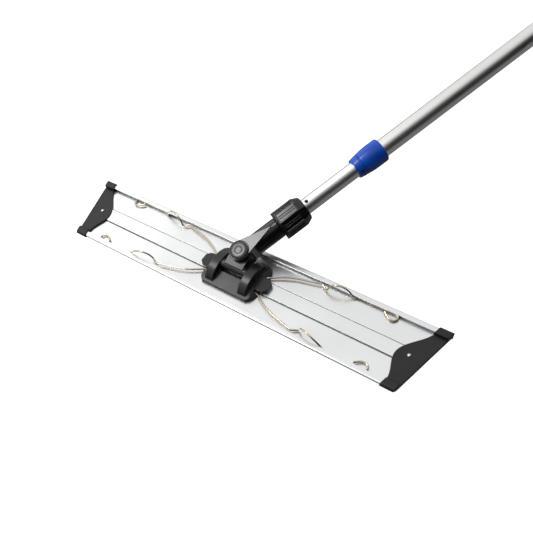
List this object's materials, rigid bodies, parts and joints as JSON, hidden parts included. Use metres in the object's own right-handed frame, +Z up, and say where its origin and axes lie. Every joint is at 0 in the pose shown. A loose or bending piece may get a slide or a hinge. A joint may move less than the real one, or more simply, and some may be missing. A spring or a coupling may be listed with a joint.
{
  "type": "flat mop",
  "caption": "Flat mop with an aluminium plate, wire cloth holders, a two-way swivel base and a telescopic pole with a blue lock collar.",
  "frame": {"origin": "centre of the plate's underside, on the face of the middle hook strip", "axes": "+X along the plate towards the right end cap, +Y from the near edge to the far edge, +Z up out of the plate; the pole leans over the far edge, towards +X"},
  "size_m": [0.7964, 1.0303, 0.3691],
  "materials": {
    "plate_aluminium": "satin anodised, drawn lengthwise",
    "tube_aluminium": "satin anodised",
    "cap_plastic": "matt moulded",
    "base_plastic": "satin moulded",
    "gloss_plastic": "gloss moulded",
    "button_plastic": "satin moulded",
    "blue_plastic": "satin moulded",
    "grip_rubber": "matt",
    "nylon": "natural",
    "hook_tape": "hook pile",
    "wire_steel": "bright drawn",
    "fastener_steel": "zinc plated"
  },
  "bodies": {
    "handle": {"outer_tube": "tube_aluminium", "hand_grip": "grip_rubber", "pole_end_cap": "cap_plastic", "lock_sleeve": "blue_plastic", "lock_jaw": "nylon"},
    "lock_collar": {"lock_collar": "blue_plastic"},
    "stem": {"inner_tube": "tube_aluminium", "tube_guide": "nylon", "yoke_socket": "gloss_plastic", "swing_pin": "fastener_steel", "swing_washers": "nylon", "pivot_button": "button_plastic", "swing_pin_cap": "button_plastic"},
    "collet": {"collet": "nylon"},
    "clamp_nut": {"clamp_nut": "gloss_plastic"},
    "snap_button": {"snap_button": "fastener_steel", "snap_spring": "wire_steel"},
    "knuckle": {"knuckle": "base_plastic", "hinge_bushes": "nylon"},
    "plate": {"mop_plate": "plate_aluminium", "end_cap_left": "cap_plastic", "end_cap_right": "cap_plastic", "end_cap_rivets": "fastener_steel", "hook_strip_near": "hook_tape", "hook_strip_far": "hook_tape", "hook_strip_middle": "hook_tape", "swivel_base": "base_plastic", "base_screws": "fastener_steel", "hinge_pin": "fastener_steel", "cloth_wire_near_left": "wire_steel", "cloth_wire_near_right": "wire_steel", "cloth_wire_far_left": "wire_steel", "cloth_wire_far_right": "wire_steel"}
  },
  "joints": [
    {"name": "collar_twist", "type": "hinge", "parent": "handle", "child": "lock_collar", "pos_m": [0.09452, 0.19737, 0.08812], "axis": [0.4501, 0.8428, 0.2951], "range_deg": [0, 90]},
    {"name": "pole_extend", "type": "slide", "parent": "handle", "child": "stem", "axis": [-0.4501, -0.8428, -0.2951], "range_m": [0, 0.6]},
    {"name": "nut_advance", "type": "slide", "parent": "stem", "child": "collet", "axis": [0.4501, 0.8428, 0.2951], "range_m": [0, 0.00239]},
    {"name": "nut_twist", "type": "hinge", "parent": "collet", "child": "clamp_nut", "pos_m": [0.03601, 0.08781, 0.04975], "axis": [0.4501, 0.8428, 0.2951], "range_deg": [0, 359]},
    {"name": "snap_press", "type": "slide", "parent": "stem", "child": "snap_button", "axis": [0, 0.3305, -0.9438], "range_m": [0, 0.0022], "stiffness_N_per_m": 800, "springref_m": -0.002},
    {"name": "side_swing", "type": "hinge", "parent": "stem", "child": "knuckle", "pos_m": [0, 0.02039, 0.02614], "axis": [0, -0.3305, 0.9438], "range_deg": [-71.75, 18.25]},
    {"name": "fold_hinge", "type": "hinge", "parent": "knuckle", "child": "plate", "pos_m": [0, 0, 0.019], "axis": [1, 0, 0], "range_deg": [-105.7, 4.3]}
  ],
  "couplings": [
    {"joint": "nut_twist", "follows": "nut_advance", "rad_per_m": 2618}
  ]
}
